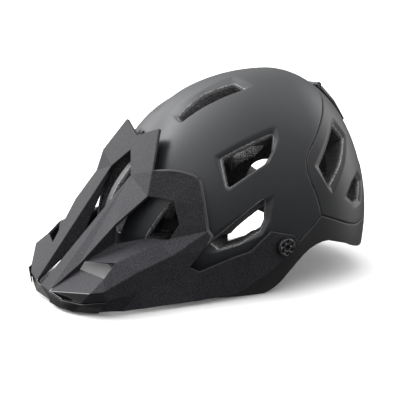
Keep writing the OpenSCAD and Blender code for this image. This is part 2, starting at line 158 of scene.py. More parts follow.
def poly_sd(X, Y, poly):
    """Signed distance to a closed outline, negative inside."""
    poly = np.asarray(poly, float)
    d = np.full(X.shape, 1e18)
    inside = np.zeros(X.shape, bool)
    n = len(poly)
    for i in range(n):
        ax, ay = poly[i]
        bx, by = poly[(i + 1) % n]
        ex, ey = bx - ax, by - ay
        wx, wy = X - ax, Y - ay
        t = np.clip((wx * ex + wy * ey) / (ex * ex + ey * ey + 1e-12), 0, 1)
        dx, dy = wx - ex * t, wy - ey * t
        d = np.minimum(d, dx * dx + dy * dy)
        c = (ay > Y) != (by > Y)
        if by != ay:
            xi = ax + (Y - ay) * ex / (by - ay)
            inside ^= c & (X < xi)
    d = np.sqrt(d)
    return np.where(inside, -d, d)


TOP = [(13, 43), (18, 41), (41, 65), (27, 67), (15, 56)]
TOP_R = [(7, 43), (12, 57), (17, 71), (47, 68), (41, 65), (18, 41)]
MID = [(39, 32), (64, 48), (63, 40), (59, 34), (43, 21)]
MID_R = [(37, 32), (66, 51), (67, 45), (61, 35), (43, 20)]
LOW = [(59, 19), (59, 9), (57, 4), (49, -1), (41, -3), (38, 0)]
LOW_R = [(64, 21), (62, 9), (58, 2), (39, -4), (36, -3), (37, 1)]
SIDE = [(26, 14), (19, 1), (23, -4), (32, 2), (34, 14)]
FRONT = [(1.6, 33), (7, 35), (12, 25), (14, 11), (10, 1), (1.6, 5)]
BACK = [(117, 51), (123, 44), (110, 33), (98, 23), (93, 34), (102, 42)]
BACK_R = [(119, 54), (126, 44), (112, 32), (99, 19), (89, 34), (101, 44)]
TAIL = [(126, 25), (130, 21), (124, 12), (119, 11), (112, 16), (117, 21)]
TAIL_R = [(127, 27), (133, 21), (125, 10), (117, 9), (108, 16), (116, 23)]
NAPE = [(142, 44), (162, 43), (163, 30), (150, 24), (139, 31)]
NAPE_R = [(140, 47), (165, 46), (165, 28), (150, 21), (136, 31)]
# opening, recess outline, how deep the recess runs at the opening, corner radius
VENTS = [
    (TOP, TOP_R, 2.2, 2.5),
    (MID, MID_R, 3.0, 2.0),
    (LOW, LOW_R, 3.0, 2.0),
    (SIDE, None, 0, 2.0),
    (FRONT, None, 0, 2.0),
    (BACK, BACK_R, 3.0, 2.0),
    (TAIL, TAIL_R, 2.8, 2.0),
    (NAPE, NAPE_R, 2.8, 2.5),
]


def inset(poly, r):
    """A closed outline with its edges moved in by r."""
    P = np.asarray(poly, float)
    area = 0.5 * np.sum(P[:, 0] * np.roll(P[:, 1], -1) - np.roll(P[:, 0], -1) * P[:, 1])
    if area < 0:
        P = P[::-1]
    out = []
    n = len(P)
    for i in range(n):
        a, b, c = P[i - 1], P[i], P[(i + 1) % n]
        d1, d2 = b - a, c - b
        d1, d2 = d1 / np.linalg.norm(d1), d2 / np.linalg.norm(d2)
        n1, n2 = np.array([-d1[1], d1[0]]), np.array([-d2[1], d2[0]])
        k = n1 + n2
        k = k / max(np.dot(k, n1), 0.35)
        out.append(b + k * r)
    return np.array(out)


class Vent:
    def __init__(self, side, opening, recess, depth, r):
        od = direction(side * np.array([p[0] for p in opening], float), np.array([p[1] for p in opening], float))
        c = od.mean(0)
        self.c = c / np.linalg.norm(c)
        self.R = float(1 / fld(self.c[None], outer())[0])
        e1 = np.cross([0, 0, 1.0], self.c)
        self.e1 = e1 / np.linalg.norm(e1)
        self.e2 = np.cross(self.c, self.e1)
        self.r = r
        self.depth = depth
        self.open = inset(self.flat(od), r)
        self.rec = None
        if recess:
            rd = direction(side * np.array([p[0] for p in recess], float), np.array([p[1] for p in recess], float))
            self.rec = inset(self.flat(rd), 2.0)

    def flat(self, U):
        k = U @ self.c
        k = np.where(k > 0.2, k, 0.2)
        return np.stack([U @ self.e1 / k, U @ self.e2 / k], -1) * self.R

    def near(self, U):
        return (U @ self.c) > 0.72

    def sd(self, U):
        f = self.flat(U)
        return np.where(self.near(U), poly_sd(f[:, 0], f[:, 1], self.open) - self.r, 60.0)

    def rd(self, U):
        f = self.flat(U)
        return np.where(self.near(U), poly_sd(f[:, 0], f[:, 1], self.rec) - 2.0, 60.0)


VV = [Vent(s, *v) for v in VENTS for s in (1, -1)]


def vents_sd(U):
    d = np.full(len(U), 60.0)
    for v in VV:
        d = np.minimum(d, v.sd(U))
    return d


def recess_sd(U):
    d = np.full(len(U), 60.0)
    for v in VV:
        if v.rec is not None:
            d = np.minimum(d, v.rd(U))
    return d


def recess_depth(U):
    """How far the surface is pressed in around the vents."""
    out = np.zeros(len(U))
    for v in VV:
        if v.rec is None:
            continue
        a = v.rd(U)
        b = np.maximum(v.sd(U), 0.0)
        w = 1.6
        m = a < w
        soft = np.where(a < -w, -a, np.where(a > w, 0.0, (w - a) ** 2 / (4 * w)))
        t = soft / (soft + b + 1e-6)
        t = np.where(m, t, 0)
        out = np.maximum(out, v.depth * np.clip(t, 0, 1))
    return out


PIV = np.array([0.0, 28.0 + SY, 51.0])


def pos_outer(U, o=0.0):
    return O + U * (radius(U, outer(o)))[:, None]


def yz(U):
    P = pos_outer(U)
    return P[:, 1] - SY, P[:, 2]


def f_belt(U):
    y, z = yz(U)
    return -poly_sd(y, z, ABOVE)


def f_rear(U):
    y, z = yz(U)
    return -poly_sd(y, z, BEHIND)


def f_rim(U):
    y, z = yz(U)
    return -poly_sd(y, z, RIMPOLY)


def f_pivot(U):
    P = pos_outer(U)
    return np.hypot(P[:, 1] - PIV[1], P[:, 2] - PIV[2]) - 5.0


SEAM = 0.6


def g_upper(U):
    return np.minimum.reduce([vents_sd(U), f_belt(U) - SEAM, -f_rear(U) - SEAM, f_pivot(U)])


def g_rear(U):
    return np.minimum.reduce([vents_sd(U), f_belt(U) - SEAM, f_rear(U) - SEAM])


def g_lower(U):
    return np.minimum.reduce([vents_sd(U), -f_belt(U) - SEAM, f_rim(U)])


def g_liner(U):
    return np.minimum.reduce([vents_sd(U) + 1.0, f_rim(U) - 1.0, f_pivot(U) - 1.3])


# ------------------------------------------------------------------ cutting a grid along fields
class Skin:
    """A grid of directions, cut along the level lines of scalar fields."""

    def __init__(self, na, ne, e0, e1=88.5):
        az = np.linspace(-180, 180, na, endpoint=False)
        el = np.linspace(e0, e1, ne)
        A, E = np.meshgrid(az, el)
        U = direction(A.ravel(), E.ravel())
        self.U = np.vstack([U, [[0, 0, 1.0]]])
        j, i = np.meshgrid(np.arange(ne - 1), np.arange(na), indexing="ij")
        j, i = j.ravel(), i.ravel()
        k = (i + 1) % na
        self.Q = np.stack([j * na + i, j * na + k, (j + 1) * na + k, (j + 1) * na + i], -1)
        self.L = [[(ne - 1) * na + a, (ne - 1) * na + (a + 1) % na, len(self.U) - 1] for a in range(na)]
        self.f = {}

    def field(self, name, fn):
        self.f[name] = [fn(self.U), fn]

    def cut(self, name, level, keep_low=True, keep_high=True):
        F = self.f[name][0]
        FQ = F[self.Q]
        lo, hi = FQ.min(1), FQ.max(1)
        above, below = lo >= level, hi <= level
        cross = ~(above | below)
        keep = np.zeros(len(self.Q), bool)
        if keep_high:
            keep |= above
        if keep_low:
            keep |= below & ~above
        polys = [list(q) for q in self.Q[cross]] + self.L
        self.Q = self.Q[keep]
        newU, cache, out = [], {}, []
        base = len(self.U)
        U = self.U

        def mid(a, b):
            key = (a, b) if a < b else (b, a)
            if key in cache:
                return cache[key]
            a, b = key
            t = (level - F[a]) / (F[b] - F[a])
            u = U[a] * (1 - t) + U[b] * t
            newU.append(u / np.linalg.norm(u))
            cache[key] = base + len(newU) - 1
            return cache[key]

        for p in polys:
            v = [F[i] - level for i in p]
            if min(v) >= 0:
                if keep_high:
                    out.append(p)
                continue
            if max(v) <= 0:
                if keep_low:
                    out.append(p)
                continue
            hi_p, lo_p = [], []
            n = len(p)
            for k in range(n):
                a, b = p[k], p[(k + 1) % n]
                va, vb = v[k], v[(k + 1) % n]
                if va >= 0:
                    hi_p.append(a)
                if va <= 0:
                    lo_p.append(a)
                if (va > 0 and vb < 0) or (va < 0 and vb > 0):
                    m = mid(a, b)
                    hi_p.append(m)
                    lo_p.append(m)
            if keep_high and len(hi_p) > 2:
                out.append(hi_p)
            if keep_low and len(lo_p) > 2:
                out.append(lo_p)
        self.L = out
        if newU:
            N = np.array(newU)
            self.U = np.vstack([self.U, N])
            for k in self.f:
                add = self.f[k][1](N)
                if k == name:
                    add = np.full(len(N), float(level))
                self.f[k][0] = np.concatenate([self.f[k][0], add])

    def close(self):
        """Keeps only the points in use; returns the list of faces."""
        polys = [list(map(int, q)) for q in self.Q] + [list(map(int, p)) for p in self.L]
        used = np.zeros(len(self.U), bool)
        for p in polys:
            used[p] = True
        idx = np.cumsum(used) - 1
        self.U = self.U[used]
        for k in self.f:
            self.f[k][0] = self.f[k][0][used]
        return [[int(idx[i]) for i in p] for p in polys]


def mesh_object(name, P, faces, mat, sharp=38.0, smooth=True, ids=None, second=None):
    me = bpy.data.meshes.new(name)
    me.from_pydata([tuple(p) for p in np.asarray(P, float) * 0.001], [], faces)
    if ids is not None:
        me.polygons.foreach_set("material_index", ids)
    ob = bpy.data.objects.new(name, me)
    bpy.context.scene.collection.objects.link(ob)
    if mat:
        me.materials.append(mat)
    if second:
        me.materials.append(second)
    bm = bmesh.new()
    bm.from_mesh(me)
    bmesh.ops.remove_doubles(bm, verts=bm.verts, dist=2e-6)
    bmesh.ops.recalc_face_normals(bm, faces=bm.faces)
    if smooth:
        lim = math.radians(sharp)
        for f in bm.faces:
            f.smooth = True
        for e in bm.edges:
            if len(e.link_faces) == 2 and e.calc_face_angle(0) > lim:
                e.smooth = False
    bm.to_mesh(me)
    bm.free()
    return ob


def solid(name, skin, faces, P_out, P_in, mat, edge=None, line=None):
    """A closed shell from an outer and an inner copy of the same faces."""
    n = len(P_out)
    seen = {}
    for p in faces:
        for k in range(len(p)):
            seen[(p[k], p[(k + 1) % len(p)])] = 1
    walls = [[a, a + n, b + n, b] for (a, b) in seen if (b, a) not in seen]
    allf = faces + [[i + n for i in p[::-1]] for p in faces] + walls
    ids = None
    if edge:
        # the cut edge of the moulding is a second material
        ids = np.zeros(len(allf), np.int32)
        ids[2 * len(faces):] = 1
        ids[:len(faces)][np.array(line)] = 1
    return mesh_object(name, np.vstack([P_out, P_in]), allf, mat, ids=ids, second=edge)


def edge_round(g, r):
    x = np.clip(g / r, 0, 1)
    return r * (1 - np.sqrt(np.clip(1 - (1 - x) ** 2, 0, 1)))


NA, NE = ((640, 300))


def shell(name, gfun, e0, e1, mat, thick=1.8):
    s = Skin(NA, NE if e0 < -10 else int(NE * 0.8), e0, e1)
    s.field("g", gfun)
    s.cut("g", 0.0, keep_low=False)
    if len(s.Q) == 0:
        raise RuntimeError(name)
    s.field("r", recess_sd)
    for lv in (1.6, 0.6, -0.6, -1.6):
        s.cut("r", lv)
    for lv in (1.1, 0.7, 0.4, 0.2, 0.05):
        s.cut("g", lv)
    faces = s.close()
    U, g = s.U, s.f["g"][0]
    base = radius(U, outer()) - recess_depth(U)
    P1 = O + U * (base - edge_round(g, 0.9))[:, None]
    P0 = O + U * (base - thick)[:, None]
    v = vents_sd(U)
    line = [max(g[i] for i in p) < 0.72 and max(v[i] for i in p) < 0.72 for p in faces]
    return solid(name, s, faces, P1, P0, mat, EDGE, line)


# ------------------------------------------------------------------ materials
def lin(c):
    return tuple(((x / 12.92) if x <= 0.04045 else ((x + 0.055) / 1.055) ** 2.4) for x in c)


class Mat:
    def __init__(self, name):
        self.m = bpy.data.materials.new(name)
        self.m.use_nodes = True
        self.t = self.m.node_tree
        self.n = self.t.nodes
        self.b = self.n["Principled BSDF"]
        tc = self.n.new("ShaderNodeTexCoord")
        self.co = tc.outputs["Object"]

    def link(self, a, b):
        self.t.links.new(a, b)

    def noise(self, scale, detail=3.0, rough=0.55, dist=0.0):
        n = self.n.new("ShaderNodeTexNoise")
        n.inputs["Scale"].default_value = scale
        n.inputs["Detail"].default_value = detail
        n.inputs["Roughness"].default_value = rough
        n.inputs["Distortion"].default_value = dist
        self.link(self.co, n.inputs["Vector"])
        return n.outputs["Fac"]

    def voronoi(self, scale, feature="F1"):
        n = self.n.new("ShaderNodeTexVoronoi")
        n.feature = feature
        n.inputs["Scale"].default_value = scale
        self.link(self.co, n.inputs["Vector"])
        return n.outputs["Distance"]

    def ramp(self, fac, a, b, lo, hi):
        n = self.n.new("ShaderNodeMapRange")
        n.inputs["From Min"].default_value = a
        n.inputs["From Max"].default_value = b
        n.inputs["To Min"].default_value = lo
        n.inputs["To Max"].default_value = hi
        self.link(fac, n.inputs["Value"])
        return n.outputs["Result"]

    def mixc(self, fac, a, b):
        n = self.n.new("ShaderNodeMix")
        n.data_type = "RGBA"
        self.link(fac, n.inputs["Factor"])
        n.inputs["A"].default_value = (*a, 1)
        n.inputs["B"].default_value = (*b, 1)
        return n.outputs["Result"]

    def math(self, op, a, b):
        n = self.n.new("ShaderNodeMath")
        n.operation = op
        for s, v in zip(n.inputs, (a, b)):
            if isinstance(v, (int, float)):
                s.default_value = v
            else:
                self.link(v, s)
        return n.outputs[0]

    def bump(self, height, strength, dist, prev=None):
        n = self.n.new("ShaderNodeBump")
        n.inputs["Strength"].default_value = strength
        n.inputs["Distance"].default_value = dist
        self.link(height, n.inputs["Height"])
        if prev is not None:
            self.link(prev, n.inputs["Normal"])
        return n.outputs["Normal"]

    def set(self, **k):
        for a, v in k.items():
            s = self.b.inputs[a.replace("_", " ")]
            if isinstance(v, (int, float)):
                s.default_value = v
            elif isinstance(v, tuple):
                s.default_value = (*v, 1) if len(v) == 3 else v
            else:
                self.link(v, s)


def plastic(name, col, rough, grain=0.15, grain_scale=1400, var=0.06, spec=0.5, cvar=0.12, wear=0.3, coat=0.0, fleck=0.0):
    m = Mat(name)
    big = m.noise(9, 4, 0.6)
    fine = m.noise(grain_scale, 2, 0.5)
    wearn = m.noise(60, 6, 0.7, 0.6)
    dark = tuple(c * (1 - cvar) for c in col)
    light = tuple(min(1, c * (1 + cvar)) for c in col)
    if fleck:
        # the grain catches light as fine pale specks
        sp = m.ramp(m.noise(grain_scale, 2, 0.7), 0.42, 0.62, 0, 1)
        mixn = m.n.new("ShaderNodeMix")
        mixn.data_type = "RGBA"
        m.link(sp, mixn.inputs["Factor"])
        m.link(m.mixc(m.ramp(big, 0.3, 0.7, 0, 1), tuple(c * (1 - fleck) for c in dark), tuple(c * (1 - fleck) for c in light)), mixn.inputs["A"])
        mixn.inputs["B"].default_value = (*tuple(min(1, c * (1 + 1.6 * fleck)) for c in light), 1)
        m.set(Base_Color=mixn.outputs["Result"])
    else:
        m.set(Base_Color=m.mixc(m.ramp(big, 0.3, 0.7, 0, 1), dark, light))
    r1 = m.ramp(big, 0.3, 0.7, rough - var, rough + var)
    r2 = m.ramp(wearn, 0.55, 0.75, 0, 0.06 * wear)
    m.set(Roughness=m.math("SUBTRACT", r1, r2))
    b = m.bump(fine, grain, 0.0002)
    b = m.bump(m.noise(28, 2, 0.5), 0.05, 0.0006, b)
    m.set(Normal=b, Specular_IOR_Level=spec, Coat_Weight=coat, Coat_Roughness=0.25)
    return m.m


def foam(name, col, rough=0.5):
    """Moulded bead foam: dark beads, pale seams and a few bright flecks."""
    m = Mat(name)
    edge = m.voronoi(330, "DISTANCE_TO_EDGE")
    big = m.noise(14, 3)
    fleck = m.noise(900, 2, 0.6)
    seam = m.ramp(edge, 0.02, 0.16, 1, 0)
    speck = m.math("MULTIPLY", m.ramp(fleck, 0.56, 0.68, 0, 1), m.ramp(big, 0.35, 0.65, 0.35, 1))
    n = m.n.new("ShaderNodeMix")
    n.data_type = "RGBA"
    m.link(speck, n.inputs["Factor"])
    m.link(m.mixc(seam, col, tuple(c * 0.4 for c in col)), n.inputs["A"])
    n.inputs["B"].default_value = (*tuple(min(1, c * 5.5) for c in col), 1)
    m.set(Base_Color=n.outputs["Result"])
    m.set(Roughness=m.ramp(big, 0.3, 0.7, rough - 0.1, rough + 0.1), Specular_IOR_Level=0.5)
    b = m.bump(m.ramp(edge, 0.0, 0.2, 0, 1), 0.7, 0.0005)
    b = m.bump(m.noise(1500, 2), 0.15, 0.0002, b)
    m.set(Normal=b)
    return m.m


def flecked(name, dark, light):
    """The trimmed edge of a shell: dark with a broken pale line."""
    m = Mat(name)
    n = m.noise(800, 4, 0.7, 0.4)
    m.set(Base_Color=m.mixc(m.ramp(n, 0.40, 0.60, 0, 1), dark, light))
    m.set(Roughness=m.ramp(n, 0.3, 0.7, 0.5, 0.34), Normal=m.bump(n, 0.3, 0.0003))
    return m.m


def metal(name, col, rough):
    m = Mat(name)
    n = m.noise(90, 5, 0.6, 0.4)
    m.set(Base_Color=m.mixc(n, tuple(c * 0.85 for c in col), col), Metallic=1.0)
    m.set(Roughness=m.ramp(n, 0.3, 0.7, rough - 0.07, rough + 0.1), Normal=m.bump(m.noise(900, 2), 0.12, 0.0001))
    return m.m


def cloth(name, col, scale=900, rough=0.9):
    m = Mat(name)
    w1 = m.n.new("ShaderNodeTexWave")
    w1.inputs["Scale"].default_value = scale / 2
    w1.inputs["Distortion"].default_value = 1.5
    w1.bands_direction = "DIAGONAL"
    m.link(m.co, w1.inputs["Vector"])
    w2 = m.n.new("ShaderNodeTexWave")
    w2.inputs["Scale"].default_value = scale / 2.4
    w2.inputs["Distortion"].default_value = 1.5
    w2.bands_direction = "Z"
    m.link(m.co, w2.inputs["Vector"])
    weave = m.math("MULTIPLY", w1.outputs["Fac"], w2.outputs["Fac"])
    big = m.noise(40, 4)
    m.set(Base_Color=m.mixc(m.math("ADD", m.math("MULTIPLY", weave, 0.6), m.math("MULTIPLY", big, 0.4)), tuple(c * 0.5 for c in col), tuple(c * 1.25 for c in col)))
    m.set(Roughness=m.ramp(big, 0.3, 0.7, rough - 0.08, rough), Sheen_Weight=0.25, Sheen_Roughness=0.5)
    b = m.bump(weave, 0.5, 0.0003)
    m.set(Normal=m.bump(m.noise(700, 3), 0.25, 0.0003, b))
    return m.m


SHELL = plastic("shell_satin", lin((0.160, 0.166, 0.178)), 0.37, grain=0.10, grain_scale=1600, spec=0.5)
SHELL2 = plastic("shell_satin_rear", lin((0.16, 0.162, 0.17)), 0.39, grain=0.10, grain_scale=1600, spec=0.5)
SHELL3 = plastic("shell_satin_low", lin((0.15, 0.15, 0.157)), 0.40, grain=0.10, grain_scale=1600, spec=0.5)
VISOR = plastic("visor_grained", lin((0.172, 0.167, 0.182)), 0.54, grain=0.4, grain_scale=1000, spec=0.17, fleck=0.38)
# the peak's rounded rim is the same grained plastic as the peak; its lighter colour is a painted highlight where the
# rounded edge catches the light, its lower roughness is real
VISOR_RIM_HIGHLIT = plastic("visor_rim_painted_highlight", lin((0.20, 0.198, 0.205)), 0.36, grain=0.15, grain_scale=1000, spec=0.5)
GLOSS = plastic("gloss_black", lin((0.05, 0.05, 0.055)), 0.12, grain=0.01, grain_scale=900, var=0.03, spec=0.9)
FOAM = foam("bead_foam", lin((0.25, 0.25, 0.255)), 0.4)
HARD = plastic("hardware_black", lin((0.11, 0.11, 0.115)), 0.36, grain=0.12, grain_scale=1100)
SCREW = plastic("screw_black", lin((0.07, 0.07, 0.075)), 0.22, grain=0.08, grain_scale=1100, spec=0.8)
NYLON = plastic("nylon_black", lin((0.15, 0.15, 0.16)), 0.5, grain=0.2, grain_scale=1000)
STEEL = metal("steel", lin((0.72, 0.73, 0.75)), 0.3)
PAD = cloth("pad_knit", lin((0.16, 0.16, 0.18)), 1100)
WEB = cloth("webbing", lin((0.11, 0.11, 0.12)), 1700, 0.8)
EDGE = flecked("shell_edge", lin((0.17, 0.17, 0.175)), lin((0.66, 0.66, 0.67)))

# ------------------------------------------------------------------ shells and liner
up = shell("shell_upper", g_upper, -36, 88.5, SHELL)
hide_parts("upper_shell")
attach(up, "helmet")
re_ = shell("shell_rear", g_rear, -8, 74, SHELL2)
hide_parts("rear_shell")
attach(re_, "helmet")
lo_ = shell("shell_lower", g_lower, -46, 22, SHELL3)
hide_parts("lower_shell")
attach(lo_, "helmet")


def liner():
    s = Skin(NA, NE, -46)
    s.field("g", g_liner)
    s.cut("g", 0.0, keep_low=False)
    s.field("r", recess_sd)
    for lv in (1.6, 0.0, -1.6):
        s.cut("r", lv)
    for lv in (1.2, 0.6, 0.2):
        s.cut("g", lv)
    faces = s.close()
    U, g = s.U, s.f["g"][0]
    ro = radius(U, outer()) - recess_depth(U) - 2.1
    P1 = O + U * (ro - edge_round(g, 0.8))[:, None]
    # above the widest line the inner face follows the same ray; below it the same height
    ri = 1 / fld(U, inner(1.9))
    low = U[:, 2] < 0
    # moulded vents open out towards the head
    W = U.copy()
    for v in VV[2:4] + VV[6:8] + VV[10:14]:
        away = U - v.c * (U @ v.c)[:, None]
        away /= np.maximum(np.linalg.norm(away, axis=1), 1e-6)[:, None]
        amount = 15.0 * np.exp(-np.maximum(v.sd(U), 0) / 26.0) / v.R
        amount[~v.near(U)] = 0
        W += away * amount[:, None]
    W /= np.linalg.norm(W, axis=1)[:, None]
    W[U[:, 2] < 0.03] = U[U[:, 2] < 0.03]
    ri = 1 / fld(W, inner(1.9))
    P0 = O + W * ri[:, None]
    z = (P1[:, 2] - O[2])
    h = np.hypot(U[:, 0], U[:, 1])
    D = np.stack([U[:, 0] / np.maximum(h, 1e-6), U[:, 1] / np.maximum(h, 1e-6), np.zeros(len(U))], -1)
    rho = np.sqrt(np.clip(1 - (np.clip(z, -118, 0) / 122) ** 2, 0, 1))
    Pl = O + D * (rho / np.maximum(fld(D, inner(1.9)), 1e-6))[:, None]
    Pl[:, 2] = P1[:, 2]
    P0[low] = Pl[low]
    # round the inner edges too
    back = edge_round(g, 1.1)
    vec = P0 - P1
    vec /= np.maximum(np.linalg.norm(vec, axis=1), 1e-6)[:, None]
    P0 = P0 - vec * back[:, None]
    ob = solid("liner_foam", s, faces, P1, P0, FOAM)
    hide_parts("eps_liner")
    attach(ob, "helmet")
    return ob


lin_ob = liner()


# ------------------------------------------------------------------ peak
VP = [(0, -180.5, 14), (7, -180, 14), (26, -93, 116), (0, -82, 136), (0, -75, 149.5), (40, -69, 161), (64, -87, 127), (68, -94, 104),
      (57, -122, 78), (41, -153, 39), (31, -179, 15), (73.8, -65.9, 125.7), (84, -49, 120), (80, -73, 99), (72.5, -85.8, 102.6), (91, -48, 98),
      (95, -47, 78), (85, -70, 78), (97, -47, 72), (80, -78, 64), (80, -88, 62), (82, -132, 50), (84, -144, 38), (87, -158, 27),
      (92, -81, 52), (94, -113, 43), (92, -148, 28), (101, -43, 66), (97, -53, 53), (94, -64, 39), (39, -151, 34), (50, -120, 58),
      (66, -95, 64), (90, -88, 26), (91, -114, 22), (91, -144, 19), (0, -183, 6), (31, -177, 4), (48, -173, 4), (62, -165, 4),
      (76, -147, 4), (52, -174, 13), (71, -161, 13), (87, -128, 5),
      (110, 14, 67), (110, 40, 60), (110, 45, 53), (109, 19, 29), (105, 3, 19), (98, -14, 6), (94, -60, 5), (89, -110, 5), (97, -55, 34), (103, -21, 45), (106, -6, 49),
      (42, -147, 42), (13, -132, 45)]
VF = [[0, 36, 37, 10, 1], [1, 10, 2], [10, 9, 2], [9, 8, 2], [8, 7, 2], [7, 6, 2], [6, 5, 2], [2, 5, 3], [5, 4, 3],
      [7, 14, 11, 6], [14, 13, 12, 11], [13, 17, 16, 15, 12], [17, 19, 18, 16], [19, 20, 24, 18], [20, 21, 25, 24], [21, 22, 26, 25],
      [22, 23, 26], [18, 24, 28, 27], [24, 33, 29, 28], [24, 25, 34, 33], [25, 26, 35, 34], [10, 23, 22, 30], [10, 30, 9],
      [9, 30, 55], [9, 55, 31, 8], [55, 32, 31], [55, 21, 32], [32, 21, 20, 19], [10, 41, 42, 23], [10, 37, 38, 41], [41, 38, 39, 42], [42, 39, 40, 35],
      [23, 42, 35, 26], [35, 40, 43, 34],
      [47, 46, 45, 44], [54, 48, 47, 44], [53, 49, 48, 54], [52, 50, 49, 53], [29, 33, 50, 52], [34, 51, 50, 33], [43, 51, 34], [2, 56, 1]]
GLOSS_FACES = {0, 28, 29, 30, 31}


def apply_mods(ob):
    dg = bpy.context.evaluated_depsgraph_get()
    me = bpy.data.meshes.new_from_object(ob.evaluated_get(dg))
    old = ob.data
    ob.modifiers.clear()
    ob.data = me
    bpy.data.meshes.remove(old)


def peak():
    P, idx = [], {}
    bm = bmesh.new()
    vs = {}
    for s in (1, -1):
        for i, p in enumerate(VP):
            if s < 0 and p[0] == 0:
                vs[(s, i)] = vs[(1, i)]
                continue
            vs[(s, i)] = bm.verts.new((s * p[0] * 0.001, (p[1] + SY) * 0.001, p[2] * 0.001))
    for s in (1, -1):
        for k, f in enumerate(VF):
            q = [vs[(s, i)] for i in f]
            if s < 0:
                q = q[::-1]
            fc = bm.faces.new(q)
            fc.material_index = 1 if k in GLOSS_FACES else 0
    bmesh.ops.recalc_face_normals(bm, faces=bm.faces)
    # outward is away from the middle of the head
    c = Vector((0, 0.04, 0.06))
    if sum(f.normal.dot(f.calc_center_median() - c) * f.calc_area() for f in bm.faces) < 0:
        bmesh.ops.reverse_faces(bm, faces=bm.faces)
    bmesh.ops.triangulate(bm, faces=[f for f in bm.faces if len(f.verts) > 4])
    me = bpy.data.meshes.new("peak")
    bm.to_mesh(me)
    bm.free()
    ob = bpy.data.objects.new("peak", me)
    bpy.context.scene.collection.objects.link(ob)
    me.materials.append(VISOR)
    me.materials.append(GLOSS)
    m = ob.modifiers.new("s", "SOLIDIFY")
    m.thickness = 0.0030
    m.offset = -1
    m.use_even_offset = False
    m.thickness_clamp = 1.0
    m = ob.modifiers.new("b", "BEVEL")
    m.width = 0.0007
    m.segments = 3
    m.limit_method = "ANGLE"
    m.angle_limit = math.radians(7)
    m.use_clamp_overlap = True
    m.harden_normals = True
    m.miter_outer = "MITER_ARC"
    m.harden_normals = False
    apply_mods(ob)
    for v in ob.data.vertices:
        # no bevel corner runs below the lip
        v.co.z = max(v.co.z, 0.0032)
    for p in ob.data.polygons:
        p.use_smooth = False
    return ob


pk = peak()


def rope(name, pts, r, mat, seg=12):
    """A round rim along a line of points; sizes in millimetres."""
    P = [Vector(p) for p in pts]
    bm = bmesh.new()
    rings = []
    for i, p in enumerate(P):
        d = (P[min(i + 1, len(P) - 1)] - P[max(i - 1, 0)]).normalized()
        u = d.orthogonal().normalized() if not rings else (prev_u - d * prev_u.dot(d)).normalized()
        prev_u = u
        w_ = d.cross(u)
        rr = r * (0.35 if i in (0, len(P) - 1) else 1.0)
        rings.append([bm.verts.new((p + (u * math.cos(2 * math.pi * k / seg) + w_ * math.sin(2 * math.pi * k / seg)) * rr + Vector((0, SY, 0))) * 0.001) for k in range(seg)])
    for A_, B_ in zip(rings, rings[1:]):
        for k in range(seg):
            bm.faces.new([A_[k], A_[(k + 1) % seg], B_[(k + 1) % seg], B_[k]])
    bm.faces.new(rings[0][::-1])
    bm.faces.new(rings[-1])
    bmesh.ops.recalc_face_normals(bm, faces=bm.faces)
    for f in bm.faces:
        f.smooth = True
    me = bpy.data.meshes.new(name)
    bm.to_mesh(me)
    bm.free()
    ob = bpy.data.objects.new(name, me)
    bpy.context.scene.collection.objects.link(ob)
    me.materials.append(mat)
    return ob


def rounded(pts, n=3):
    L = [Vector(p) for p in pts]
    for _ in range(n):
        out = [L[0]]
        for i in range(1, len(L) - 1):
            out += [L[i] * 0.8 + L[i - 1] * 0.2, L[i] * 0.8 + L[i + 1] * 0.2]
        L = out + [L[-1]]
    return L


def inward(i, d):
    """Point i of the peak moved back by d into its own thickness."""
    n = Vector((0, 0, 0))
    for f in VF:
        if i in f:
            a_, b_, c_ = (Vector(VP[f[k]]) for k in (0, 1, 2))
            n += (b_ - a_).cross(c_ - a_).normalized()
    return Vector(VP[i]) - n.normalized() * d


RIMLINE = [6, 11, 12, 15, 16, 18, 27, 28]
ropes = []
# the rim ropes carry the painted highlight of the peak's rounded top and back edges
for s in (1, -1):
    line_ = [Vector((s * p.x, p.y, p.z)) for p in (inward(i, 1.7) for i in RIMLINE)]
    ropes.append(rope("rim", rounded(line_, 2), 1.9, VISOR_RIM_HIGHLIT))


def tube(name, axis_from, axis_to, r, mat, seg=48, hole=0.0, bevel=0.0005, body=None):
    """A round piece between two points, bevelled at its ends; sizes in millimetres."""
    a, b = Vector(axis_from) * 0.001, Vector(axis_to) * 0.001
    a.y += SY * 0.001
    b.y += SY * 0.001
    L = (b - a).length
    z = (b - a).normalized()
    q = Vector((0, 0, 1)).rotation_difference(z)
    prof = [(max(r * 0.001 - bevel, 1e-5), 0), (r * 0.001, bevel), (r * 0.001, L - bevel), (max(r * 0.001 - bevel, 1e-5), L)]
    bm = bmesh.new()
    rings = []
    hr = hole * 0.001
    pr = [(hr, 0)] + prof + [(hr, L)] if hole else prof
    for (rr, h) in pr:
        rings.append([bm.verts.new(a + q @ Vector((rr * math.cos(2 * math.pi * k / seg), rr * math.sin(2 * math.pi * k / seg), h))) for k in range(seg)])
    for u, v in zip(rings, rings[1:]):
        for k in range(seg):
            bm.faces.new([u[k], u[(k + 1) % seg], v[(k + 1) % seg], v[k]])
    if hole:
        for k in range(seg):
            bm.faces.new([rings[-1][k], rings[-1][(k + 1) % seg], rings[0][(k + 1) % seg], rings[0][k]])
    else:
        bm.faces.new(rings[0][::-1])
        bm.faces.new(rings[-1])
    bmesh.ops.recalc_face_normals(bm, faces=bm.faces)
    for f in bm.faces:
        f.smooth = True
    for e in bm.edges:
        if len(e.link_faces) == 2 and e.calc_face_angle(0) > math.radians(50):
            e.smooth = False
    me = bpy.data.meshes.new(name)
    bm.to_mesh(me)
    bm.free()
    ob = bpy.data.objects.new(name, me)
    bpy.context.scene.collection.objects.link(ob)
    me.materials.append(mat)
    if body:
        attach(ob, body)
    return ob


